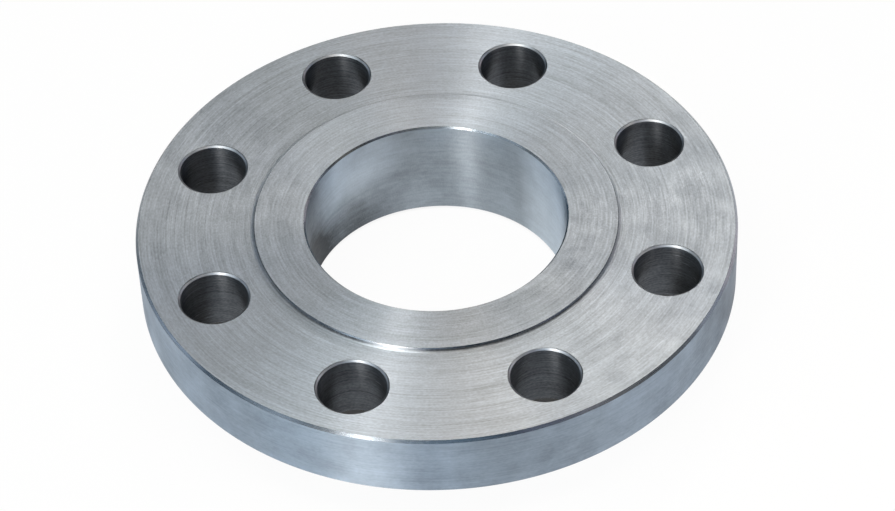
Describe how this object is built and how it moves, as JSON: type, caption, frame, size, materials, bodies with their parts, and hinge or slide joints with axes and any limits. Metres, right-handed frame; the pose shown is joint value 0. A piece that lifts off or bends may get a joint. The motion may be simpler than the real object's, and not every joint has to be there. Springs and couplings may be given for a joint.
{
  "type": "slip-on pipe flange",
  "caption": "Flat steel ring with a raised gasket face, a plain bore that slips over a pipe, a short hub at the back and a circle of bolt holes.",
  "frame": {"origin": "centre of the raised gasket face, on the bore's axis", "axes": "+Z along the bore's axis, out of the gasket face and away from the pipe; +X midway between two bolt holes"},
  "size_m": [0.21, 0.21, 0.04],
  "materials": {
    "machined_steel": "bare carbon steel, turned, with fine concentric tool marks and drilled bolt holes"
  },
  "bodies": {
    "root": {"flange_body": "machined_steel"}
  },
  "joints": []
}
